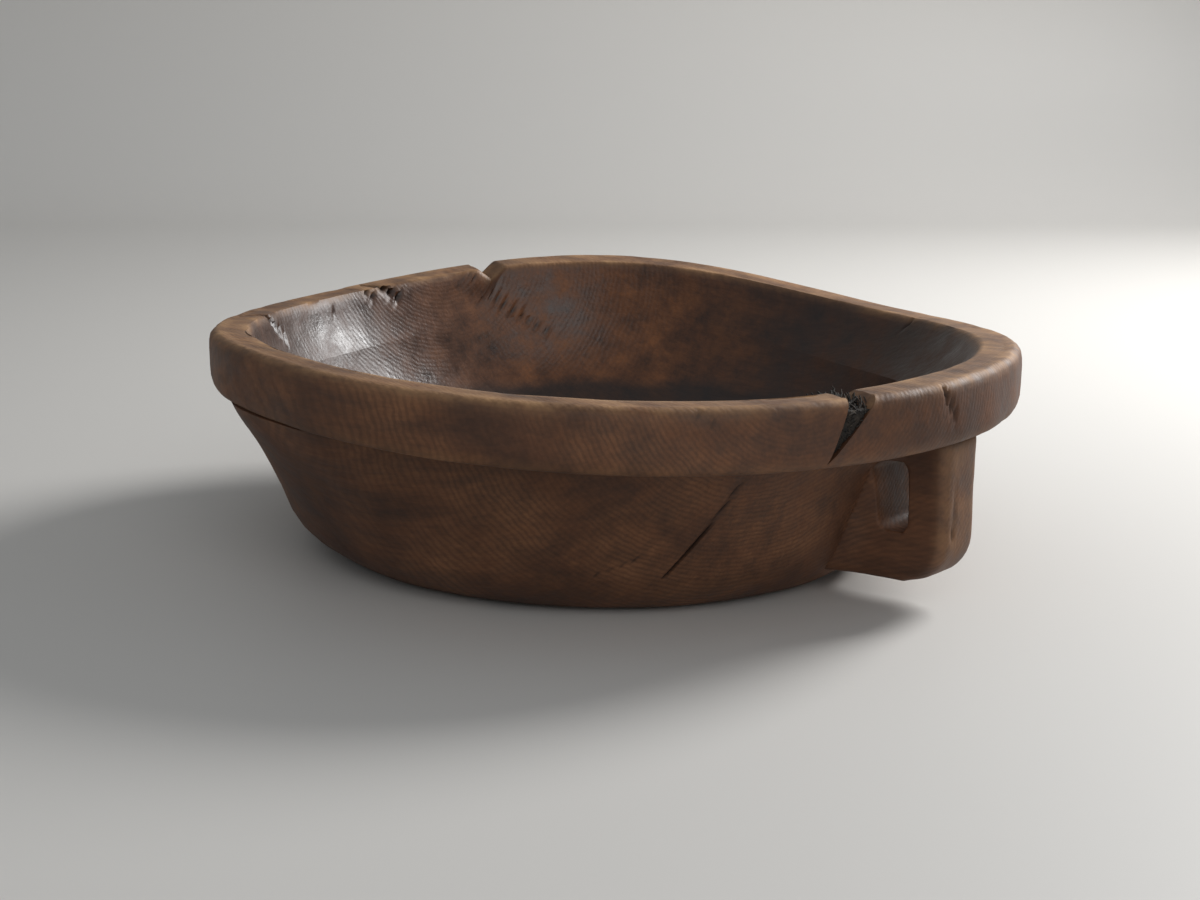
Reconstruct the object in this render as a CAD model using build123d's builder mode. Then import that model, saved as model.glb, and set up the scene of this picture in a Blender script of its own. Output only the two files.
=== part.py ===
"""Carved wooden dough bowl with an overhanging lip, a pierced lug handle and an old heart split.

Millimetres, +Z up. The origin is under the middle of the lip, at the level that the bowl rests on,
and +X points through the lug handle. The wood is divided where the carving and its own splits divide it.
"""

import math
import os

from build123d import *

# Lip, seen from above
LIP_LENGTH = 620.0
LIP_WIDTH = 564.0
LIP_HEIGHT = 44.0
LIP_TOP_WIDTH = 32.0
LIP_BULGE = 12.0

# Rim line: mean height, wave height, then (waves round the rim, share of the height, angle of a crest)
RIM_HEIGHT = 164.0
RIM_WAVE = 6.4
RIM_WAVES = ((1, 0.53, -140.0), (2, 0.66, -52.0), (3, 1.0, 9.0), (4, 0.28, 37.0))

# Floor and wall; the wall's oval sits under the lip, a little away from the lug
OVERHANG_ALONG = 38.0
OVERHANG_ACROSS = 24.0
WALL_SHIFT = -15.0
FLOOR_THICKNESS = 32.0
WALL_THICKNESS = 26.0
WALL_FLARE = 22.6
FOOT_ROUNDING = 24.0
REST_INSET = 58.0
HOLLOW_SWEEP = 80.0

# Lug handle
LUG_WIDTH = 40.0
LUG_SETBACK = 11.0
LUG_FOOT_HEIGHT = 18.0
LUG_FOOT_RADIUS = 34.0
LUG_EDGE_RADIUS = 7.0
GRIP_THICKNESS = 24.0
FINGER_SLOT_HEIGHT = 48.0
FINGER_SLOT_DROP = 17.0
FINGER_SLOT_DEPTH = 26.0
FINGER_SLOT_RADIUS = 8.0

# Heart split along the grain, with its packed gap in front and its open notch behind
SPLIT_FRONT_ANGLE = -20.0
SPLIT_REAR_ANGLE = 151.0
SPLIT_LEAN = 32.0
GAP_WIDTH = 22.0
CAULK_DROP = 7.0
CAULK_RECESS = 3.0
CHECK_SPACING = 8.0
CHECK_WIDTH = 1.0
NOTCH_WIDTH = 20.0
NOTCH_DEPTH = 10.0

# Values worked out from the sizes above
LIP_X, LIP_Y = LIP_LENGTH / 2, LIP_WIDTH / 2
WALL_X, WALL_Y = LIP_X - OVERHANG_ALONG, LIP_Y - OVERHANG_ACROSS
LUG_REACH = LIP_X - LUG_SETBACK
LIP_FOOT = RIM_HEIGHT - LIP_HEIGHT
RIM_SWING = RIM_WAVE * sum(share for _, share, _ in RIM_WAVES)
LIP_FOOT_RISE = (LIP_FOOT - FLOOR_THICKNESS) / (RIM_HEIGHT - FLOOR_THICKNESS)
RIM_CEILING = RIM_HEIGHT + RIM_SWING + LIP_HEIGHT
FLARE = math.tan(math.radians(WALL_FLARE))
REACH = LIP_LENGTH
SURFACE_CELLS = 14


def rim_height(x, y):
    """Height of the rim's top above a point of the floor."""
    angle = math.atan2(y, x)
    share = (x / LIP_X) ** 2 + (y / LIP_Y) ** 2
    wave = sum(part * math.cos(waves * (angle - math.radians(crest))) for waves, part, crest in RIM_WAVES)
    return RIM_HEIGHT + RIM_WAVE * wave * min(share, 1.0)


def rim_surface(drop):
    """The wavy surface of the rim's top, lowered by drop."""
    spread = [2 * i / SURFACE_CELLS - 1 for i in range(SURFACE_CELLS + 1)]
    across_x = [u * LIP_X * 1.1 for u in spread]
    across_y = [v * LIP_Y * 1.1 for v in spread]
    rows = [[Vector(x, y, rim_height(x, y) - drop) for y in across_y] for x in across_x]
    return Face.make_surface_from_array_of_points(rows)


def wall_inset(height):
    """How far the wall's outside has drawn in at this height, from its size under the lip."""
    return (LIP_FOOT - height) * FLARE


def rim_point(degrees):
    """The point of the lip's outline at this angle, as seen from above."""
    angle = math.radians(degrees)
    radius = 1 / math.hypot(math.cos(angle) / LIP_X, math.sin(angle) / LIP_Y)
    return Vector(radius * math.cos(angle), radius * math.sin(angle), 0)


# The split runs from its front point to its rear point, and leans as it goes down
front_point, rear_point = rim_point(SPLIT_FRONT_ANGLE), rim_point(SPLIT_REAR_ANGLE)
grain = (front_point - rear_point).normalized()
across = Vector(0, 0, 1).cross(grain)
front_top = front_point + Vector(0, 0, RIM_HEIGHT)
lean = math.tan(math.radians(SPLIT_LEAN))
split_plane = Plane(origin=front_top, x_dir=grain, z_dir=(across + Vector(0, 0, -lean)).normalized())
end_plane = Plane(origin=front_top, x_dir=across, z_dir=grain)
GAP_DEPTH = LIP_HEIGHT * 0.96
GAP_FOOT = -lean * GAP_DEPTH
WEDGE_DEPTH = LIP_HEIGHT + RIM_SWING

# Wavy slabs: everything above the lip's underside, and the lip's own layer
with BuildPart() as above_lip_foot:
    extrude(rim_surface(LIP_HEIGHT), amount=RIM_CEILING, dir=(0, 0, 1))

with BuildPart() as above_rim:
    extrude(rim_surface(0), amount=RIM_CEILING, dir=(0, 0, 1))

# The hollow where the dough is worked
def wall_thickness(rise):
    """Thickness of the wall, which grows in a sweep from the lip's foot down to the floor."""
    return WALL_THICKNESS + (HOLLOW_SWEEP - WALL_THICKNESS) * max(0.0, 1 - rise / LIP_FOOT_RISE) ** 3


with BuildPart() as hollow:
    for rise in (-0.05, 0.0, 0.1, 0.3, LIP_FOOT_RISE):
        height = FLOOR_THICKNESS + rise * (RIM_HEIGHT - FLOOR_THICKNESS)
        inset = wall_inset(height) + wall_thickness(rise)
        with BuildSketch(Plane.XY.offset(height)):
            with Locations((WALL_SHIFT, 0)):
                Ellipse(WALL_X - inset, WALL_Y - inset)
    for rise, edge in ((1.0, LIP_TOP_WIDTH), (1.35, LIP_TOP_WIDTH - LIP_BULGE)):
        height = FLOOR_THICKNESS + rise * (RIM_HEIGHT - FLOOR_THICKNESS)
        with BuildSketch(Plane.XY.offset(height)):
            Ellipse(LIP_X - edge, LIP_Y - edge)
    loft()

# Floor: a rounded dish with a flat to rest on
with BuildPart() as bowl_floor:
    rest = wall_inset(FLOOR_THICKNESS) + REST_INSET
    with BuildSketch(Plane.XY):
        Ellipse(WALL_X - rest, WALL_Y - rest)
    for share in (0.12, 0.28, 0.5, 0.75, 1.0):
        height = share * FLOOR_THICKNESS
        inset = wall_inset(height) + FOOT_ROUNDING * (1 - height / FLOOR_THICKNESS) ** 2
        with BuildSketch(Plane.XY.offset(height)):
            with Locations((WALL_SHIFT, 0)):
                Ellipse(WALL_X - inset, WALL_Y - inset)
    loft(ruled=True)
bowl_floor.part.label = "bowl_floor"

# Wall: one flared ring, then the two sides of the split
with BuildPart() as wall_cone:
    for height in (FLOOR_THICKNESS, RIM_CEILING):
        inset = wall_inset(height)
        with BuildSketch(Plane.XY.offset(height)):
            with Locations((WALL_SHIFT, 0)):
                Ellipse(WALL_X - inset, WALL_Y - inset)
    loft(ruled=True)

with BuildPart() as wall_ring:
    add(wall_cone.part)
    add(hollow.part, mode=Mode.SUBTRACT)
    add(above_lip_foot.part, mode=Mode.SUBTRACT)

with BuildPart() as handle_side_wall:
    add(wall_ring.part)
    split(bisect_by=split_plane, keep=Keep.TOP)
handle_side_wall.part.label = "handle_side_wall"

with BuildPart() as near_wall:
    add(wall_ring.part)
    split(bisect_by=split_plane, keep=Keep.BOTTOM)
near_wall.part.label = "near_wall"

# Lip: a barrel-faced band between the wavy surfaces
lip_stations = ((-0.4, 1.0), (0.1, 0.35), (0.55, 0.0), (1.0, 0.15), (1.5, 1.0))


def lip_barrel(inset):
    """The lip's outside as a full solid, drawn in by inset."""
    with BuildPart() as barrel:
        for rise, bulge in lip_stations:
            draw_in = inset + LIP_BULGE * bulge
            with BuildSketch(Plane.XY.offset(LIP_FOOT + rise * LIP_HEIGHT)):
                Ellipse(LIP_X - draw_in, LIP_Y - draw_in)
        loft()
    return barrel.part


with BuildPart() as lip_ring:
    add(lip_barrel(0))
    add(above_lip_foot.part, mode=Mode.INTERSECT)
    add(above_rim.part, mode=Mode.SUBTRACT)
    add(hollow.part, mode=Mode.SUBTRACT)

# Gap of the split in the front of the lip: a wedge that leans with the split
with BuildPart() as front_gap:
    with BuildSketch(end_plane):
        with BuildLine():
            Polyline(
                (-GAP_WIDTH / 2, RIM_SWING),
                (GAP_WIDTH / 2, RIM_SWING),
                (GAP_WIDTH / 2, 0),
                (GAP_FOOT, -GAP_DEPTH),
                (-GAP_WIDTH / 2, 0),
                close=True,
            )
        make_face()
    extrude(amount=LIP_X / 2, both=True)

# Wedge of lip between the gap and the check beside it
with BuildPart() as wedge_zone:
    with BuildSketch(end_plane):
        with BuildLine():
            Polyline(
                (GAP_WIDTH / 2, RIM_SWING),
                (GAP_WIDTH / 2 + CHECK_WIDTH, RIM_SWING),
                (CHECK_SPACING, -WEDGE_DEPTH),
                (-lean * WEDGE_DEPTH, -WEDGE_DEPTH),
                (GAP_FOOT, -GAP_DEPTH),
                (GAP_WIDTH / 2, 0),
                close=True,
            )
        make_face()
    extrude(amount=LIP_X / 2, both=True)

# Open notch where the split comes out at the back
rear_top = rear_point + Vector(0, 0, rim_height(rear_point.X, rear_point.Y))
with BuildPart() as rear_notch:
    with BuildSketch(Plane(origin=rear_top, x_dir=across, z_dir=grain)):
        with BuildLine():
            Polyline(
                (-NOTCH_WIDTH / 2, RIM_SWING),
                (NOTCH_WIDTH / 2, RIM_SWING),
                (NOTCH_WIDTH / 2, 0),
                (0, -NOTCH_DEPTH),
                (-NOTCH_WIDTH / 2, 0),
                close=True,
            )
        make_face()
    extrude(amount=LIP_X / 2, both=True)

with BuildPart() as handle_side_rim:
    add(lip_ring.part)
    split(bisect_by=split_plane, keep=Keep.TOP)
    add(front_gap.part, mode=Mode.SUBTRACT)
    add(wedge_zone.part, mode=Mode.SUBTRACT)
    add(rear_notch.part, mode=Mode.SUBTRACT)
handle_side_rim.part.label = "handle_side_rim"

with BuildPart() as near_rim:
    add(lip_ring.part)
    split(bisect_by=split_plane, keep=Keep.BOTTOM)
    add(front_gap.part, mode=Mode.SUBTRACT)
    add(wedge_zone.part, mode=Mode.SUBTRACT)
    add(rear_notch.part, mode=Mode.SUBTRACT)
near_rim.part.label = "near_rim"

with BuildPart() as rim_wedge:
    add(lip_ring.part)
    add(wedge_zone.part, mode=Mode.INTERSECT)
rim_wedge.part.label = "rim_wedge"

# Fibre packed into the gap, below the rim and behind its face
with BuildPart() as split_caulking:
    add(lip_barrel(CAULK_RECESS))
    add(above_lip_foot.part, mode=Mode.INTERSECT)
    add(hollow.part, mode=Mode.SUBTRACT)
    extrude(rim_surface(CAULK_DROP), amount=RIM_CEILING, dir=(0, 0, 1), mode=Mode.SUBTRACT)
    add(front_gap.part, mode=Mode.INTERSECT)
split_caulking.part.label = "split_caulking"

# Lug handle: an upright grip that stands off the wall, with a slot for the fingers
slot_top = LIP_FOOT - FINGER_SLOT_DROP
slot_middle = slot_top - FINGER_SLOT_HEIGHT / 2
grip_inside = LUG_REACH - GRIP_THICKNESS
with BuildPart() as lug_handle:
    with BuildSketch(Plane.XZ):
        with BuildLine():
            FilletPolyline(
                (LIP_X / 2, LUG_FOOT_HEIGHT),
                (LUG_REACH, LUG_FOOT_HEIGHT),
                (LUG_REACH, RIM_CEILING),
                radius=LUG_FOOT_RADIUS,
            )
            Polyline((LUG_REACH, RIM_CEILING), (LIP_X / 2, RIM_CEILING), (LIP_X / 2, LUG_FOOT_HEIGHT))
        make_face()
    extrude(amount=LUG_WIDTH / 2, both=True)
    fillet(lug_handle.faces().sort_by(Axis.Y)[0].outer_wire().edges().group_by(Axis.X)[-1], LUG_EDGE_RADIUS)
    fillet(lug_handle.faces().sort_by(Axis.Y)[-1].outer_wire().edges().group_by(Axis.X)[-1], LUG_EDGE_RADIUS)
    with BuildSketch(Plane.XZ.offset(-LUG_WIDTH)):
        with Locations((grip_inside - FINGER_SLOT_DEPTH / 2, slot_middle)):
            RectangleRounded(FINGER_SLOT_DEPTH, FINGER_SLOT_HEIGHT, FINGER_SLOT_RADIUS)
    extrude(amount=2 * LUG_WIDTH, mode=Mode.SUBTRACT)
    add(wall_cone.part, mode=Mode.SUBTRACT)
    add(bowl_floor.part, mode=Mode.SUBTRACT)
    add(above_lip_foot.part, mode=Mode.SUBTRACT)
lug_handle.part.label = "lug_handle"

pieces = (
    bowl_floor,
    near_wall,
    handle_side_wall,
    near_rim,
    handle_side_rim,
    rim_wedge,
    split_caulking,
    lug_handle,
)
os.makedirs("parts", exist_ok=True)
for piece in pieces:
    export_step(piece.part, f"parts/{piece.part.label}.step")
    print(piece.part.label, len(piece.part.solids()), round(piece.part.volume), piece.part.bounding_box().size)
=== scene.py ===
# %% [markdown]
# # A carved dough bowl
# The bowl was hollowed out of one log. It has a flared wall, a thick lip that stands out over the wall, a
# pierced lug to carry it by, and a heart split that somebody packed with fibre long ago. The frame gives the
# solid parts and their places in metres. This lesson dresses each of them with a carved and worn skin.

# %% Load the frame
import math

import bmesh
import bpy
import numpy as np
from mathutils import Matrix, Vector, noise


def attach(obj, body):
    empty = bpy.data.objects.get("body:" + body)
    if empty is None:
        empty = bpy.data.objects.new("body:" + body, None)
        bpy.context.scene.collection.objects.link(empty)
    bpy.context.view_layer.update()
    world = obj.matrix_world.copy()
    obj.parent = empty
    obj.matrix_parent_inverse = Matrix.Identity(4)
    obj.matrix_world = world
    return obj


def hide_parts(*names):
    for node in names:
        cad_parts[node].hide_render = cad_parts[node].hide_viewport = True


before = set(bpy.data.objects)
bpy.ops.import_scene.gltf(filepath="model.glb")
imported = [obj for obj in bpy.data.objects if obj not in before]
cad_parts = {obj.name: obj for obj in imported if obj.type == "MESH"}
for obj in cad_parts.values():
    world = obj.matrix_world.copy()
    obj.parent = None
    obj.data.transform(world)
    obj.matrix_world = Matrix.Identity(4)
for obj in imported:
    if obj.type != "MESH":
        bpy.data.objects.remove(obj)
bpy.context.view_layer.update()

print("nodes:", sorted(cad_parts))

# %% [markdown]
# ## The bowl's sizes
# Every section of the bowl is an oval. The lip's oval is centred on the origin and the wall's oval sits a
# little away from the lug. The rim isn't level: a log dries unevenly, so its height is a sum of slow waves.

# %% Sizes in metres
MM = 0.001
LIP_X, LIP_Y = 310 * MM, 282 * MM
WALL_X, WALL_Y = 272 * MM, 258 * MM
WALL_SHIFT = -15 * MM
FLOOR_TOP = 32 * MM
RIM, LIP_HEIGHT = 164 * MM, 44 * MM
LIP_FOOT = RIM - LIP_HEIGHT
LIP_TOP_WIDTH = 32 * MM
WALL_THICKNESS, HOLLOW_SWEEP = 26 * MM, 80 * MM
FLARE = math.tan(math.radians(22.6))
RIM_WAVE = 6.4 * MM
RIM_WAVES = ((1, 0.53, -140.0), (2, 0.66, -52.0), (3, 1.0, 9.0), (4, 0.28, 37.0))


def rim_height(x, y):
    angle = np.arctan2(y, x)
    share = np.minimum((x / LIP_X) ** 2 + (y / LIP_Y) ** 2, 1.0)
    wave = sum(part * np.cos(n * (angle - math.radians(crest))) for n, part, crest in RIM_WAVES)
    return RIM + RIM_WAVE * wave * share


def smooth(low, high, value):
    t = np.clip((value - low) / (high - low), 0, 1)
    return t * t * (3 - 2 * t)


print("rim from", round(float(rim_height(LIP_X, 0)), 4), "at the lug")

# %% [markdown]
# ## The heart split
# The split follows the grain right across the bowl and leans as it goes down. Lines on the lip and the wall
# are found by asking where a section's oval crosses a leaning plane, so both sides of the split share them.

# %% The split as leaning planes
def lip_point(degrees):
    angle = math.radians(degrees)
    radius = 1 / math.hypot(math.cos(angle) / LIP_X, math.sin(angle) / LIP_Y)
    return np.array((radius * math.cos(angle), radius * math.sin(angle)))


split_front, split_rear = lip_point(-20), lip_point(151)
grain = (split_front - split_rear) / np.linalg.norm(split_front - split_rear)
across = np.array((-grain[1], grain[0]))
LEAN = math.tan(math.radians(32))
GAP_DEPTH = LIP_HEIGHT * 0.96
GAP_HALF = 11 * MM
SPLIT_LINE = (0.0, LEAN)
GAP_LEFT = (-GAP_HALF, (LEAN * GAP_DEPTH - GAP_HALF) / GAP_DEPTH)
GAP_RIGHT = (GAP_HALF, (LEAN * GAP_DEPTH + GAP_HALF) / GAP_DEPTH)
CHECK_LINE = (11.2 * MM, 0.053)


def off_split(x, y, z, line=SPLIT_LINE):
    """Distance to the side of a leaning line, along the bowl's crosswise direction."""
    side = (x - split_front[0]) * across[0] + (y - split_front[1]) * across[1]
    return side - line[0] - line[1] * (z - RIM)


def crossing(track, line, guess):
    """The oval's angle, near guess, where one track of the skin meets a leaning line."""
    angles = guess + np.linspace(-0.75, 0.75, 1501)
    x, y, z = track(angles)
    side = off_split(x, y, z, line)
    hits = np.nonzero(np.sign(side[:-1]) != np.sign(side[1:]))[0]
    if len(hits) == 0:
        return float(angles[np.argmin(np.abs(side))])
    best = hits[np.argmin(np.abs(angles[hits] - guess))]
    share = side[best] / (side[best] - side[best + 1])
    return float(angles[best] + share * (angles[best + 1] - angles[best]))


FRONT_GUESS, REAR_GUESS = math.radians(-21.8), math.radians(148.6)
print("grain runs", np.round(grain, 3), "and leans", round(LEAN, 3))

# %% [markdown]
# ## Tracks
# A track is a line of the skin that runs round the bowl: a height rule and an oval. A piece of wall or lip is
# a closed loop of tracks, swept from one side of the split to the other. Each track says which way a tool
# mark pushes the surface (out, in or down) and how worn or how dark it is.

# %% Track rules
# The ledge under the lip fades out where the wall swells to meet it
LEDGE_FADE, LEDGE_FADE_ANGLE = 13 * MM, math.radians(-106)


def wall_track(share, inside):
    """A track on the wall: share 0 is the floor's top and 1 is the lip's foot."""
    def track(angles):
        ring_x, ring_y = WALL_X * np.cos(angles) + WALL_SHIFT, WALL_Y * np.sin(angles)
        foot = rim_height(ring_x, ring_y) - LIP_HEIGHT
        z = FLOOR_TOP + share * (foot - FLOOR_TOP)
        draw_in = (LIP_FOOT - z) * FLARE
        if not inside:
            turn = np.abs((angles - LEDGE_FADE_ANGLE + math.pi) % (2 * math.pi) - math.pi)
            draw_in = draw_in - LEDGE_FADE * smooth(0.5, 0.12, turn) * smooth(0.35, 1.0, share)
        if inside:
            rise = np.clip((z - FLOOR_TOP) / (LIP_FOOT - FLOOR_TOP), 0, 1)
            draw_in = draw_in + WALL_THICKNESS + (HOLLOW_SWEEP - WALL_THICKNESS) * (1 - rise) ** 3
        x = WALL_SHIFT + (WALL_X - draw_in) * np.cos(angles)
        y = (WALL_Y - draw_in) * np.sin(angles)
        return x, y, z
    return track


def lip_track(share, inset):
    """A track on the lip: share 0 is its foot and 1 its top, inset is measured from its outline."""
    def track(angles):
        x, y = (LIP_X - inset) * np.cos(angles), (LIP_Y - inset) * np.sin(angles)
        return x, y, rim_height(x, y) - LIP_HEIGHT * (1 - share)
    return track


def lip_inner_track(share):
    """A track on the hollow's side of the lip, from the wall's inner edge up to the mouth."""
    def track(angles):
        low_x, low_y, foot = wall_track(1.0, True)(angles)
        high_x = (LIP_X - LIP_TOP_WIDTH) * np.cos(angles)
        high_y = (LIP_Y - LIP_TOP_WIDTH) * np.sin(angles)
        bend = share + 0.35 * share * (1 - share)
        x, y = low_x + (high_x - low_x) * bend, low_y + (high_y - low_y) * bend
        top = rim_height(high_x, high_y)
        return x, y, foot + (top - foot) * share
    return track


print("track rules ready")

# %% [markdown]
# ## Tool marks, wear and cracks
# The adze left shallow facets, use rounded the rim, and drying opened cracks. All of them are displacements
# of the skin by rules of place, with a fixed seed, so neighbouring pieces agree where they meet. The cracks
# also get painted shade: their skin is darkened towards near-black.

# %% Mark rules
SEED = Vector((3.7, 1.9, 8.2))


def grainy(x, y, z, scale, stretch=1.0):
    """Noise from -1 to 1 at this scale, drawn out along the grain by stretch."""
    along = x * grain[0] + y * grain[1]
    side = x * across[0] + y * across[1]
    pts = np.stack((along / stretch, side, z), -1).reshape(-1, 3) / scale
    values = np.array([noise.noise(Vector(p) + SEED) for p in pts])
    return values.reshape(np.shape(x))


def crack_depth(x, y, z, points, width):
    """Nearness, 0 to 1, to a crack drawn as a chain of points, tapering to its ends."""
    here = np.stack((x, y, z), -1)
    chain = np.array(points) * MM
    lengths = np.linalg.norm(np.diff(chain, axis=0), axis=1)
    total, done = lengths.sum(), 0.0
    near = np.zeros(np.shape(x))
    for start, end, length in zip(chain[:-1], chain[1:], lengths):
        run = (end - start) / length
        t = np.clip((here - start) @ run, 0, length)
        gap = np.linalg.norm(here - start - t[..., None] * run, axis=-1)
        taper = 0.35 + 0.65 * np.sin(math.pi * np.clip((done + t) / total, 0.02, 0.98))
        near = np.maximum(near, np.exp(-((gap / (width * MM * taper)) ** 2)))
        done += length
    return near


# Each crack: points in millimetres, width, depth
CRACKS = []


def skin_shift(x, y, z):
    """How far the skin moves outwards at each point, and how much painted shade darkens the cracks."""
    facet = grainy(x, y, z, 0.034, 1.6) * 0.9 * MM + grainy(x, y, z, 0.11) * 1.6 * MM
    fine = grainy(x, y, z, 0.009, 3.0) * 0.25 * MM
    # Painted shade: near each crack the colour is darkened to stand for the shade inside it.
    crack_shade = np.zeros(np.shape(x))
    move = facet + fine
    for points, width, depth in CRACKS:
        near = crack_depth(x, y, z, points, width)
        move = move - near * depth * MM
        crack_shade = np.maximum(crack_shade, near)
    return move, crack_shade


print("mark rules ready")

# %% [markdown]
# ## Sweeping a loop of tracks
# The helper below lays the tracks of one piece between two lines of the split, moves them by the mark rules,
# joins them into a closed shell with an end face at each side, and stores wear, patina and the painted crack
# shade as attributes that the finish reads.

# %% The sweeping helper
def new_piece(name, verts, faces, marks):
    mesh = bpy.data.meshes.new(name)
    mesh.from_pydata([tuple(v) for v in verts], [], faces)
    for mark, values in marks.items():
        layer = mesh.attributes.new(mark, "FLOAT", "POINT")
        layer.data.foreach_set("value", np.asarray(values, np.float32))
    bm = bmesh.new()
    bm.from_mesh(mesh)
    bmesh.ops.recalc_face_normals(bm, faces=bm.faces)
    bm.to_mesh(mesh)
    bm.free()
    mesh.shade_smooth()
    mesh.set_sharp_from_angle(angle=math.radians(48))
    piece = bpy.data.objects.new(name, mesh)
    bpy.context.scene.collection.objects.link(piece)
    return piece


NOTCH_HALF, NOTCH_DEPTH = 11 * MM, 10 * MM


def sweep(name, loop, start, end, columns):
    """loop: list of (track, push, wear, inside); start and end: (line, guess angle)."""
    rows, pushes, wears, insides = [], [], [], []
    for track, push, wear, inside in loop:
        first = crossing(track, *start)
        last = crossing(track, *end)
        if last < first:
            last += 2 * math.pi
        angles = np.linspace(first, last, columns)
        x, y, z = track(angles)
        rows.append(np.stack((x, y, z), -1))
        out = np.stack((np.cos(angles) / LIP_X, np.sin(angles) / LIP_Y, np.zeros(columns)), -1)
        out /= np.linalg.norm(out, axis=-1)[:, None]
        pushes.append(push[0] * out + np.array((0, 0, push[1])))
        wears.append(np.full(columns, wear))
        insides.append(np.full(columns, inside))
    grid, push = np.array(rows), np.array(pushes)
    height = grid[..., 2] - LIP_FOOT
    notch = np.clip(1 - np.abs(off_split(*np.moveaxis(grid, -1, 0))) / NOTCH_HALF, 0, 1) * (grid[..., 0] < 0)
    grid[..., 2] -= NOTCH_DEPTH * notch * smooth(0.3, 1.0, height / LIP_HEIGHT)
    move, crack_shade = skin_shift(grid[..., 0], grid[..., 1], grid[..., 2])
    chip = np.array(wears) * smooth(0.1, 0.75, grainy(*np.moveaxis(grid, -1, 0), 0.022, 1.5)) * 2.2 * MM
    grid = grid + push * (move - 2.2 * MM * np.array(wears) - chip)[..., None]
    count = len(loop)
    faces = []
    for k in range(count):
        low, high = k * columns, ((k + 1) % count) * columns
        for i in range(columns - 1):
            faces.append((low + i, low + i + 1, high + i + 1, high + i))
    faces.append(tuple(k * columns for k in range(count)))
    faces.append(tuple(k * columns + columns - 1 for k in reversed(range(count))))
    marks = {"wear": np.array(wears).ravel(), "inside": np.array(insides).ravel(), "crack_shade": crack_shade.ravel()}
    return new_piece(name, grid.reshape(-1, 3), faces, marks)


print("sweeping helper ready")

# %% [markdown]
# ## Cracks in the wood
# The photograph shows the main split running down the wall, a second short check low down, gashes in the far
# end of the lip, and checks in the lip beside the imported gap. Each is a chain of a few points.

# %% Crack lines
def on_wall(angle, height):
    x, y, z = wall_track((height - 32) / 88, False)(np.array([math.radians(angle)]))
    return (float(x[0]) / MM, float(y[0]) / MM, height)


def on_lip(angle, drop, inset=2):
    x, y, z = lip_track(1.0, inset * MM)(np.array([math.radians(angle)]))
    return (float(x[0]) / MM, float(y[0]) / MM, float(z[0]) / MM - drop)


def on_inner(angle, drop):
    track = lip_inner_track(1 - drop / 44) if drop <= 44 else wall_track(1 - (drop - 44) / 88, True)
    x, y, z = track(np.array([math.radians(angle)]))
    return (float(x[0]) / MM, float(y[0]) / MM, float(z[0]) / MM)


CRACKS += [
    ([on_wall(-30.5, 114), on_wall(-34, 81), on_wall(-36.5, 63), on_wall(-41.5, 34)], 1.0, 3.0),
    ([on_wall(-46, 49), on_wall(-54.5, 33)], 0.8, 1.6),
    ([on_lip(-44, 0, 5), on_lip(-44.2, 7)], 1.0, 2.5),
    ([on_lip(-42.5, 0, 5), on_lip(-42, 11)], 0.9, 2.5),
    ([on_lip(-8, 1, 3), on_lip(-8, 6), on_lip(-5, 26)], 1.5, 4.0),
    ([on_inner(151.5, 4), on_inner(144.5, 35), on_inner(137.5, 54), on_inner(134, 60)], 1.3, 3.0),
    ([on_lip(-151, 0, 8), on_lip(-153, 0, 30), on_inner(-158.5, 25)], 1.9, 6.0),
    ([on_lip(-157, 0, 12), on_inner(-159, 9)], 1.5, 5.0),
    ([on_lip(172, 0, 10), on_inner(170.5, 1), on_inner(166, 15)], 2.2, 7.0),
    ([on_lip(176, 0, 16), on_inner(174, 4), on_inner(172, 9)], 1.6, 5.0),
    ([on_lip(-172, 0, 14), on_inner(-176.5, 11)], 1.7, 5.0),
    ([on_lip(61.5, 0, 24), on_inner(61.5, 7)], 2.6, 4.0),
]
print(len(CRACKS), "cracks")

# %% [markdown]
# ## Floor, walls and lip
# The floor is a full dish, so it closes at its middle. The two walls run from the split in front to the split
# behind. The lip has a rounded face, worn edges and an underside that meets the wall.

# %% Wall loops
WALL_STEPS = 22
wall_loop = [(wall_track(k / WALL_STEPS, False), (1, 0), 0.0, 0.0) for k in range(WALL_STEPS + 1)]
wall_loop += [(wall_track(1 - k / WALL_STEPS, True), (-1, 0), 0.0, 1.0) for k in range(WALL_STEPS + 1)]
front, rear = (SPLIT_LINE, FRONT_GUESS), (SPLIT_LINE, REAR_GUESS)
handle_side_wall = sweep("handle_side_wall_skin", wall_loop, front, rear, 320)
near_wall = sweep("near_wall_skin", wall_loop, rear, (SPLIT_LINE, FRONT_GUESS + 2 * math.pi), 360)
print("walls", len(near_wall.data.vertices), len(handle_side_wall.data.vertices))

# %% Lip loops
# Tracks up the lip's face: share of its height, inset in millimetres, wear
lip_face = (
    (0.0, 8.0, 0.1), (0.03, 5.2, 0.2), (0.1, 3.6, 0.1), (0.22, 2.4, 0.0),
    (0.38, 2.0, 0.0), (0.52, 1.9, 0.0), (0.66, 1.9, 0.0), (0.8, 2.1, 0.05),
    (0.89, 2.5, 0.2), (0.945, 3.2, 0.6), (0.98, 4.6, 1.0), (0.997, 7.0, 0.9),
)
# Tracks across the lip's top: inset in millimetres, wear, patina
lip_top = ((13.5, 0.7, 0.0), (17, 0.55, 0.05), (21, 0.55, 0.1), (25, 0.65, 0.2), (28.5, 0.9, 0.35))
lip_loop = [(wall_track(1.0, False), (1, 0), 0.0, 0.0)]
lip_loop += [(lip_track(share, inset * MM), (1, 0), wear, 0.0) for share, inset, wear in lip_face]
for inset, wear, inside in lip_top:
    lip_loop.append((lip_track(1.0, inset * MM), (0.2, 0.5), wear, inside))
for share in (0.97, 0.92, 0.84, 0.74, 0.62, 0.5, 0.38, 0.26, 0.12, 0.0):
    wear, inside = max(0.0, 8 * (share - 0.88)), min(1.0, 0.35 + 3 * (1 - share))
    lip_loop.append((lip_inner_track(share), (-1, 0), wear, inside))
handle_side_rim = sweep("handle_side_rim_skin", lip_loop, (CHECK_LINE, FRONT_GUESS), rear, 420)
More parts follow.
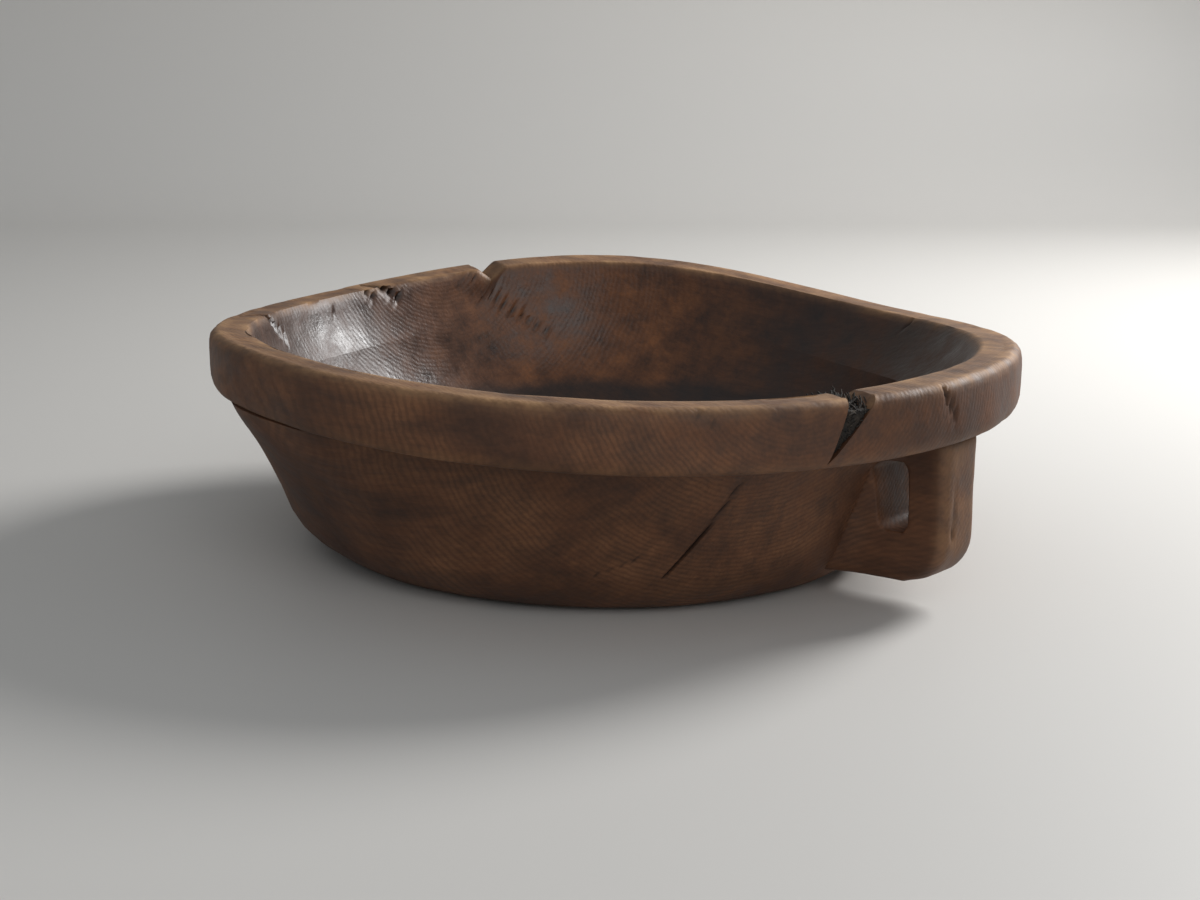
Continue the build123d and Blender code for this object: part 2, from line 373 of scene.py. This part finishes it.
near_rim = sweep("near_rim_skin", lip_loop, rear, (GAP_LEFT, FRONT_GUESS + 2 * math.pi), 460)
rim_wedge = sweep("rim_wedge_skin", lip_loop, (GAP_RIGHT, FRONT_GUESS), (CHECK_LINE, FRONT_GUESS), 24)
print("lip", len(near_rim.data.vertices), len(handle_side_rim.data.vertices), len(rim_wedge.data.vertices))

# %% Floor rings
FOOT_ROUNDING, REST_INSET = 24 * MM, 58 * MM


def floor_piece():
    columns, rings = 300, []
    angles = np.linspace(0, 2 * math.pi, columns, endpoint=False)
    inset = (LIP_FOOT - FLOOR_TOP) * FLARE
    foot_x, foot_y = WALL_X - inset, WALL_Y - inset
    for share in (1.0, 0.75, 0.5, 0.28, 0.12):
        z = share * FLOOR_TOP
        draw_in = (LIP_FOOT - z) * FLARE + FOOT_ROUNDING * (1 - share) ** 2
        rings.append((WALL_X - draw_in, WALL_Y - draw_in, z, 0.0, (0.8, -0.3 * (1 - share))))
    for share in (1.0, 0.8, 0.6, 0.4, 0.2):
        rings.append(((foot_x - REST_INSET) * share, (foot_y - REST_INSET) * share, 0.0, 0.0, (0, 0)))
    top = [(foot_x * share, foot_y * share, FLOOR_TOP, 1.0, (0, 0.6)) for share in np.linspace(0.08, 0.7, 24)]
    top += [(foot_x * share, foot_y * share, FLOOR_TOP, 1.0, (0, 0)) for share in (0.8, 0.95)]
    grid = []
    push = []
    for semi_x, semi_y, z, inside, way in rings + top:
        x, y = WALL_SHIFT + semi_x * np.cos(angles), semi_y * np.sin(angles)
        grid.append(np.stack((x, y, np.full(columns, z)), -1))
        out = np.stack((np.cos(angles), np.sin(angles), np.zeros(columns)), -1)
        push.append(way[0] * out + np.array((0, 0, way[1])))
    grid, push = np.array(grid), np.array(push)
    move, crack_shade = skin_shift(grid[..., 0], grid[..., 1], grid[..., 2])
    grid = grid + push * move[..., None]
    verts = list(grid.reshape(-1, 3))
    bottom = len(rings)
    count = len(grid)
    faces = []

    def band(low, high):
        for i in range(columns):
            j = (i + 1) % columns
            faces.append((low * columns + i, low * columns + j, high * columns + j, high * columns + i))

    for k in range(bottom - 1):
        band(k, k + 1)
    for k in range(bottom, count - 1):
        band(k, k + 1)
    band(count - 1, 0)
    faces.append(tuple((bottom - 1) * columns + i for i in range(columns)))
    faces.append(tuple(bottom * columns + i for i in range(columns)))
    inside = np.repeat([r[3] for r in rings + top], columns)
    marks = {"wear": np.zeros(len(verts)), "inside": inside, "crack_shade": crack_shade.ravel()}
    return new_piece("bowl_floor_skin", verts, faces, marks)


bowl_floor = floor_piece()
print("floor", len(bowl_floor.data.vertices))

# %% [markdown]
# ## The lug
# The lug is a fin of end grain with a slot for the fingers. A copy of its solid is remeshed, spread a little
# where it grows out of the wall, and given the same marks as the rest.

# %% Lug from its solid
def remeshed(name, node, voxel, smooth_steps):
    """A finely meshed copy of a node, merged and remeshed, as a new plain mesh."""
    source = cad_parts[node].data.copy()
    bm = bmesh.new()
    bm.from_mesh(source)
    bmesh.ops.remove_doubles(bm, verts=bm.verts, dist=1e-6)
    bm.to_mesh(source)
    bm.free()
    raw = bpy.data.objects.new(name + "_raw", source)
    bpy.context.scene.collection.objects.link(raw)
    remesh = raw.modifiers.new("remesh", "REMESH")
    remesh.mode = "VOXEL"
    remesh.voxel_size = voxel
    relax = raw.modifiers.new("relax", "SMOOTH")
    relax.iterations = smooth_steps
    mesh = bpy.data.meshes.new_from_object(raw.evaluated_get(bpy.context.evaluated_depsgraph_get()))
    bpy.data.objects.remove(raw)
    mesh.name = name
    mesh.materials.clear()
    return mesh


def marked(mesh, name, wear_rule, amount):
    """Moves the points of a mesh along its normals by the mark rules and stores the attributes."""
    co = np.empty(len(mesh.vertices) * 3)
    mesh.vertices.foreach_get("co", co)
    co = co.reshape(-1, 3)
    normals = np.array([v.normal for v in mesh.vertices])
    move, crack_shade = skin_shift(co[:, 0], co[:, 1], co[:, 2])
    co = co + normals * (move * amount)[:, None]
    mesh.vertices.foreach_set("co", co.ravel())
    for mark, values in (("wear", wear_rule(co)), ("inside", np.zeros(len(co))), ("crack_shade", crack_shade)):
        layer = mesh.attributes.new(mark, "FLOAT", "POINT")
        layer.data.foreach_set("value", np.asarray(values, np.float32))
    mesh.shade_smooth()
    piece = bpy.data.objects.new(name, mesh)
    bpy.context.scene.collection.objects.link(piece)
    return piece


lug_mesh = remeshed("lug_handle_skin", "lug_handle", 2.2 * MM, 4)
co = np.array([v.co for v in lug_mesh.vertices])
wall_end = WALL_SHIFT + WALL_X - (LIP_FOOT - co[:, 2]) * FLARE
from_wall = np.clip(co[:, 0] - wall_end, 0, 1)
co[:, 1] *= 1.1 + 0.42 * np.exp(-from_wall / (9 * MM))
co[:, 0] -= 5 * MM * np.exp(-(((co[:, 0] - 0.275) / (7 * MM)) ** 2))
co[:, 0] -= 4 * MM * np.exp(-from_wall / (4 * MM))
for vert, place in zip(lug_mesh.vertices, co):
    vert.co = place
lug_mesh.update()
CRACKS += [([(300, -4, 118), (301, -8, 92), (300, -10, 60), (292, -12, 34)], 1.4, 4.0)]
lug = marked(lug_mesh, "lug_handle_skin", lambda p: smooth(0.285, 0.299, p[:, 0]) * 0.25, 0.8)
print("lug", len(lug.data.vertices))

# %% [markdown]
# ## The packing in the split
# Old fibre was driven into the gap and has gone black. Its body is a lumpy copy of its solid. Loose strands
# follow a rule, so a small tree of Geometry Nodes scatters them over it and lays them along the split.

# %% Packing body
caulk_mesh = remeshed("split_caulking_body", "split_caulking", 1.4 * MM, 3)
caulk_body = marked(caulk_mesh, "split_caulking_body", lambda p: np.zeros(len(p)), 1.6)

# %% Strand tree
def strand_tree():
    tree = bpy.data.node_groups.new("packing strands", "GeometryNodeTree")
    tree.interface.new_socket("Packing", in_out="INPUT", socket_type="NodeSocketGeometry")
    sizes = (("Strands per square metre", 150000.0), ("Strand length", 0.013), ("Strand radius", 0.00055))
    for label, value in sizes:
        tree.interface.new_socket(label, in_out="INPUT", socket_type="NodeSocketFloat").default_value = value
    tree.interface.new_socket("Seed", in_out="INPUT", socket_type="NodeSocketInt").default_value = 7
    tree.interface.new_socket("Finish", in_out="INPUT", socket_type="NodeSocketMaterial")
    tree.interface.new_socket("Packed", in_out="OUTPUT", socket_type="NodeSocketGeometry")
    add, link = tree.nodes.new, tree.links.new
    given, made = add("NodeGroupInput"), add("NodeGroupOutput")
    scatter = add("GeometryNodeDistributePointsOnFaces")
    link(given.outputs["Packing"], scatter.inputs["Mesh"])
    link(given.outputs["Strands per square metre"], scatter.inputs["Density"])
    link(given.outputs["Seed"], scatter.inputs["Seed"])
    strand = add("GeometryNodeCurveArc")
    strand.inputs["Resolution"].default_value = 6
    strand.inputs["Sweep Angle"].default_value = 0.9
    link(given.outputs["Strand length"], strand.inputs["Radius"])
    ring = add("GeometryNodeCurvePrimitiveCircle")
    ring.inputs["Resolution"].default_value = 4
    link(given.outputs["Strand radius"], ring.inputs["Radius"])
    tube = add("GeometryNodeCurveToMesh")
    tube.inputs["Fill Caps"].default_value = True
    link(strand.outputs["Curve"], tube.inputs["Curve"])
    link(ring.outputs["Curve"], tube.inputs["Profile Curve"])
    centre = add("GeometryNodeTransform")
    link(tube.outputs["Mesh"], centre.inputs["Geometry"])
    shift = add("ShaderNodeCombineXYZ")
    flip = add("ShaderNodeMath")
    flip.operation = "MULTIPLY"
    flip.inputs[1].default_value = -0.95
    link(given.outputs["Strand length"], flip.inputs[0])
    link(flip.outputs[0], shift.inputs["X"])
    link(shift.outputs[0], centre.inputs["Translation"])
    turn = add("FunctionNodeRandomValue")
    turn.data_type = "FLOAT_VECTOR"
    turn.inputs["Min"].default_value = (-0.6, -0.6, -0.6)
    turn.inputs["Max"].default_value = (0.6, 0.6, 0.6)
    link(given.outputs["Seed"], turn.inputs["Seed"])
    place = add("GeometryNodeInstanceOnPoints")
    link(scatter.outputs["Points"], place.inputs["Points"])
    link(centre.outputs["Geometry"], place.inputs["Instance"])
    link(turn.outputs[0], place.inputs["Rotation"])
    real = add("GeometryNodeRealizeInstances")
    link(place.outputs["Instances"], real.inputs["Geometry"])
    both = add("GeometryNodeJoinGeometry")
    link(given.outputs["Packing"], both.inputs["Geometry"])
    link(real.outputs["Geometry"], both.inputs["Geometry"])
    finish = add("GeometryNodeSetMaterial")
    link(both.outputs["Geometry"], finish.inputs["Geometry"])
    link(given.outputs["Finish"], finish.inputs["Material"])
    link(finish.outputs["Geometry"], made.inputs["Packed"])
    return tree


print("strand tree ready")

# %% [markdown]
# ## Finishes
# One wood finish serves the whole bowl. It mixes a deep brown outside, a glossy patina inside and a tan worn
# edge by the stored attributes, and adds grain that follows the log, growth rings, mottling, a darkening of
# the hollow towards its bottom and painted shade in the cracks.

# %% Wood finish
def colour_ramp(tree, factor, stops):
    node = tree.nodes.new("ShaderNodeValToRGB")
    while len(node.color_ramp.elements) < len(stops):
        node.color_ramp.elements.new(0.5)
    for element, (place, colour) in zip(node.color_ramp.elements, stops):
        element.position = place
        element.color = (*colour, 1)
    tree.links.new(factor, node.inputs["Fac"])
    return node.outputs["Color"]


def blend_colours(tree, factor, first, second, mode="MIX"):
    node = tree.nodes.new("ShaderNodeMix")
    node.data_type = "RGBA"
    node.blend_type = mode
    for socket, value in ((node.inputs["Factor"], factor), (node.inputs[6], first), (node.inputs[7], second)):
        if isinstance(value, bpy.types.NodeSocket):
            tree.links.new(value, socket)
        else:
            socket.default_value = value
    return node.outputs[2]


def arithmetic(tree, operation, first, second):
    node = tree.nodes.new("ShaderNodeMath")
    node.operation = operation
    node.use_clamp = operation != "SUBTRACT"
    for socket, value in zip(node.inputs, (first, second)):
        if isinstance(value, bpy.types.NodeSocket):
            tree.links.new(value, socket)
        else:
            socket.default_value = value
    return node.outputs[0]


def pattern(tree, coords, scale, detail=4.0, rough=0.6, stretch=(1, 1, 1), turn=0.0, place=(0, 0, 0)):
    mapping = tree.nodes.new("ShaderNodeMapping")
    mapping.inputs["Rotation"].default_value = (0, 0, turn)
    mapping.inputs["Scale"].default_value = stretch
    mapping.inputs["Location"].default_value = place
    tree.links.new(coords, mapping.inputs["Vector"])
    node = tree.nodes.new("ShaderNodeTexNoise")
    node.inputs["Scale"].default_value = scale
    node.inputs["Detail"].default_value = detail
    node.inputs["Roughness"].default_value = rough
    tree.links.new(mapping.outputs["Vector"], node.inputs["Vector"])
    return node.outputs["Fac"]


def attribute(tree, name):
    node = tree.nodes.new("ShaderNodeAttribute")
    node.attribute_name = name
    return node.outputs["Fac"]


def growth_rings(tree, coords, turn):
    """Growth rings about the log's axis, which lies along the grain and a little above the floor."""
    mapping = tree.nodes.new("ShaderNodeMapping")
    mapping.inputs["Rotation"].default_value = (0, 0, turn)
    mapping.inputs["Location"].default_value = (0, 0.02, -0.19)
    tree.links.new(coords, mapping.inputs["Vector"])
    wave = tree.nodes.new("ShaderNodeTexWave")
    wave.wave_type = "RINGS"
    wave.rings_direction = "X"
    wave.inputs["Scale"].default_value = 95
    wave.inputs["Distortion"].default_value = 9.0
    wave.inputs["Detail"].default_value = 4.0
    wave.inputs["Detail Scale"].default_value = 0.3
    wave.inputs["Detail Roughness"].default_value = 0.65
    tree.links.new(mapping.outputs["Vector"], wave.inputs["Vector"])
    return wave.outputs["Fac"]


def near_place(tree, coords, place, full, none):
    """1 near a place on the bowl, falling to 0 further away."""
    node = tree.nodes.new("ShaderNodeVectorMath")
    node.operation = "DISTANCE"
    node.inputs[1].default_value = place
    tree.links.new(coords, node.inputs[0])
    return colour_ramp(tree, node.outputs["Value"], ((full, (1.0,) * 3), (none, (0.0,) * 3)))


def height_of(tree, coords):
    node = tree.nodes.new("ShaderNodeSeparateXYZ")
    tree.links.new(coords, node.inputs[0])
    return node.outputs["Z"]


def greys(tree, factor, first_place, first, second_place, second):
    return colour_ramp(tree, factor, ((first_place, (first,) * 3), (second_place, (second,) * 3)))


DARK_BROWN = ((0.28, (0.050, 0.020, 0.010)), (0.5, (0.115, 0.047, 0.020)), (0.72, (0.20, 0.090, 0.040)))
DARK_PATINA = ((0.25, (0.022, 0.011, 0.007)), (0.5, (0.048, 0.020, 0.010)), (0.75, (0.085, 0.033, 0.014)))
AMBER_PATINA = ((0.3, (0.045, 0.017, 0.007)), (0.5, (0.16, 0.055, 0.016)), (0.7, (0.28, 0.10, 0.028)))
AMBER_PLACE = (-0.174, 0.182, 0.125)
TAN_EDGE = ((0.3, (0.17, 0.085, 0.04)), (0.65, (0.44, 0.25, 0.115)))
BLACK_FIBRE = ((0.35, (0.006, 0.005, 0.004)), (0.6, (0.028, 0.02, 0.014)), (0.75, (0.11, 0.085, 0.06)))


def wood_finish():
    material = bpy.data.materials.new("aged carved wood")
    material.use_nodes = True
    tree = material.node_tree
    shader = tree.nodes["Principled BSDF"]
    coords = tree.nodes.new("ShaderNodeTexCoord").outputs["Object"]
    turn = -math.atan2(grain[1], grain[0])
    blotch = pattern(tree, coords, 9, 5, 0.62)
    streak = pattern(tree, coords, 60, 5, 0.65, (0.12, 1, 0.8), turn)
    fine = pattern(tree, coords, 420, 3, 0.6, (0.1, 1, 0.7), turn)
    mottle = pattern(tree, coords, 34, 6, 0.7, place=(0.3, 0.1, 0.7))
    outside = colour_ramp(tree, blotch, DARK_BROWN)
    streaks = colour_ramp(tree, streak, ((0.32, (0.45, 0.42, 0.4)), (0.6, (1.15, 1.08, 1.0))))
    outside = blend_colours(tree, 0.75, outside, streaks, "MULTIPLY")
    rings = growth_rings(tree, coords, turn)
    where = arithmetic(tree, "MULTIPLY", greys(tree, blotch, 0.4, 0.15, 0.62, 1.0), 0.5)
    outside = blend_colours(tree, where, outside, greys(tree, rings, 0.15, 0.55, 0.7, 1.15), "MULTIPLY")
    patina = colour_ramp(tree, mottle, DARK_PATINA)
    amber = colour_ramp(tree, mottle, AMBER_PATINA)
    patina = blend_colours(tree, near_place(tree, coords, AMBER_PLACE, 0.05, 0.19), patina, amber)
    # The hollow is darker towards the bottom, below a wavy height about 60 mm up.
    wavy_height = arithmetic(tree, "SUBTRACT", height_of(tree, coords), arithmetic(tree, "MULTIPLY", blotch, 0.03))
    low_darkening = greys(tree, arithmetic(tree, "MULTIPLY", wavy_height, 10.0), 0.56, 1.0, 0.66, 0.0)
    patina = blend_colours(tree, arithmetic(tree, "MULTIPLY", low_darkening, 0.75), patina, (0.016, 0.013, 0.012, 1))
    base = blend_colours(tree, attribute(tree, "inside"), outside, patina)
    base = blend_colours(tree, 0.5, base, greys(tree, fine, 0.35, 0.7, 0.65, 1.2), "MULTIPLY")
    worn = colour_ramp(tree, streak, TAN_EDGE)
    ragged = arithmetic(tree, "MULTIPLY", attribute(tree, "wear"), greys(tree, mottle, 0.35, 0.2, 0.6, 1.0))
    base = blend_colours(tree, ragged, base, worn)
    # Painted shade: the skin inside the cracks is darkened to near-black.
    base = blend_colours(tree, attribute(tree, "crack_shade"), base, (0.006, 0.004, 0.003, 1))
    tree.links.new(base, shader.inputs["Base Color"])
    gloss_in = greys(tree, mottle, 0.35, 0.30, 0.65, 0.52)
    gloss_out = greys(tree, streak, 0.3, 0.55, 0.7, 0.75)
    gloss = blend_colours(tree, attribute(tree, "inside"), gloss_out, gloss_in)
    tree.links.new(gloss, shader.inputs["Roughness"])
    relief = arithmetic(tree, "MULTIPLY", streak, 0.5)
    relief = arithmetic(tree, "ADD", relief, arithmetic(tree, "MULTIPLY", fine, 0.3))
    relief = arithmetic(tree, "ADD", relief, arithmetic(tree, "MULTIPLY", rings, 0.08))
    bump = tree.nodes.new("ShaderNodeBump")
    bump.inputs["Strength"].default_value = 0.5
    bump.inputs["Distance"].default_value = 0.0016
    tree.links.new(relief, bump.inputs["Height"])
    tree.links.new(bump.outputs["Normal"], shader.inputs["Normal"])
    return material


def packing_finish():
    material = bpy.data.materials.new("blackened packing fibre")
    material.use_nodes = True
    tree = material.node_tree
    shader = tree.nodes["Principled BSDF"]
    coords = tree.nodes.new("ShaderNodeTexCoord").outputs["Object"]
    shade = pattern(tree, coords, 300, 4, 0.7)
    tint = colour_ramp(tree, shade, BLACK_FIBRE)
    tree.links.new(tint, shader.inputs["Base Color"])
    shader.inputs["Roughness"].default_value = 0.9
    return material


wood, packing = wood_finish(), packing_finish()
print("finishes:", wood.name, "and", packing.name)

# %% Scatter the strands and make one plain mesh
tree = strand_tree()
modifier = caulk_body.modifiers.new("strands", "NODES")
modifier.node_group = tree
for item in tree.interface.items_tree:
    if item.in_out == "INPUT" and item.name == "Finish":
        modifier[item.identifier] = packing
packed_mesh = bpy.data.meshes.new_from_object(caulk_body.evaluated_get(bpy.context.evaluated_depsgraph_get()))
split_caulking = bpy.data.objects.new("split_caulking_fibre", packed_mesh)
bpy.context.scene.collection.objects.link(split_caulking)
bpy.data.objects.remove(caulk_body)
print("packing", len(packed_mesh.polygons), "faces")

# %% [markdown]
# ## Telling the frame which piece stands for which part
# Nothing on a bowl moves, so every piece rides on the one body, and each hides the solid that it dresses.

# %% Ride and replace
dressed = {
    "bowl_floor": bowl_floor,
    "near_wall": near_wall,
    "handle_side_wall": handle_side_wall,
    "near_rim": near_rim,
    "handle_side_rim": handle_side_rim,
    "rim_wedge": rim_wedge,
    "lug_handle": lug,
    "split_caulking": split_caulking,
}
for node, piece in dressed.items():
    finish = packing if node == "split_caulking" else wood
    piece.data.materials.clear()
    piece.data.materials.append(finish)
    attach(piece, "root")
    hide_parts(node)
print("dressed", len(dressed), "parts")

# %% [markdown]
# ## Floor, light and camera
# A pale floor that curves up behind, one soft lamp from the right and a little behind for the long shadow to
# the left, a weak fill in front, and the camera at the photograph's angle.

# %% Studio
def studio_floor():
    bm = bmesh.new()
    back = np.array((-0.5995, 0.7673))
    right = np.array((0.788, 0.6157))
    profile = [(-3.0, 0.0), (1.9, 0.0)]
    curve = np.linspace(0.15, math.pi / 2, 10)
    profile += [(1.9 + 0.4 * math.sin(a), 0.4 - 0.4 * math.cos(a)) for a in curve]
    profile += [(2.3, 3.0)]
    rows = []
    for depth, height in profile:
        row = []
        for side in (-5.0, 5.0):
            spot = back * depth + right * side
            row.append(bm.verts.new((spot[0], spot[1], height)))
        rows.append(row)
    for low, high in zip(rows[:-1], rows[1:]):
        bm.faces.new((low[0], low[1], high[1], high[0]))
    mesh = bpy.data.meshes.new("studio_floor")
    bm.to_mesh(mesh)
    bm.free()
    mesh.shade_smooth()
    material = bpy.data.materials.new("pale floor")
    material.use_nodes = True
    shader = material.node_tree.nodes["Principled BSDF"]
    shader.inputs["Base Color"].default_value = (0.62, 0.60, 0.57, 1)
    shader.inputs["Roughness"].default_value = 0.55
    mesh.materials.append(material)
    stage_floor = bpy.data.objects.new("studio_floor", mesh)
    bpy.context.scene.collection.objects.link(stage_floor)
    return stage_floor


def lamp(name, place, aim, size, power):
    data = bpy.data.lights.new(name, "AREA")
    data.shape = "DISK"
    data.size = size
    data.energy = power
    light = bpy.data.objects.new(name, data)
    light.location = place
    light.rotation_euler = (Vector(aim) - Vector(place)).to_track_quat("-Z", "Y").to_euler()
    bpy.context.scene.collection.objects.link(light)
    return light


studio_floor()
lamp("window", (0.60, 1.65, 1.25), (0, 0, 0.08), 0.9, 52)
lamp("front_fill", (1.5, -1.2, 1.2), (0, 0, 0.08), 1.6, 10)
world = bpy.data.worlds.new("soft room")
world.use_nodes = True
world.node_tree.nodes["Background"].inputs["Color"].default_value = (0.8, 0.85, 0.9, 1)
world.node_tree.nodes["Background"].inputs["Strength"].default_value = 0.35
bpy.context.scene.world = world
bpy.context.scene.view_settings.view_transform = "Standard"

# %% Camera
camera_data = bpy.data.cameras.new("camera")
camera_data.lens = 63
camera_data.sensor_width = 36
camera = bpy.data.objects.new("camera", camera_data)
camera.location = (0.9484, -1.2139, 0.4364)
aim = Vector((-0.0041, -0.0054, 0.0686))
camera.rotation_euler = (aim - camera.location).to_track_quat("-Z", "Y").to_euler()
bpy.context.scene.collection.objects.link(camera)
bpy.context.scene.camera = camera
print("camera", tuple(round(v, 3) for v in camera.location))

# %% Finish
bpy.context.view_layer.update()
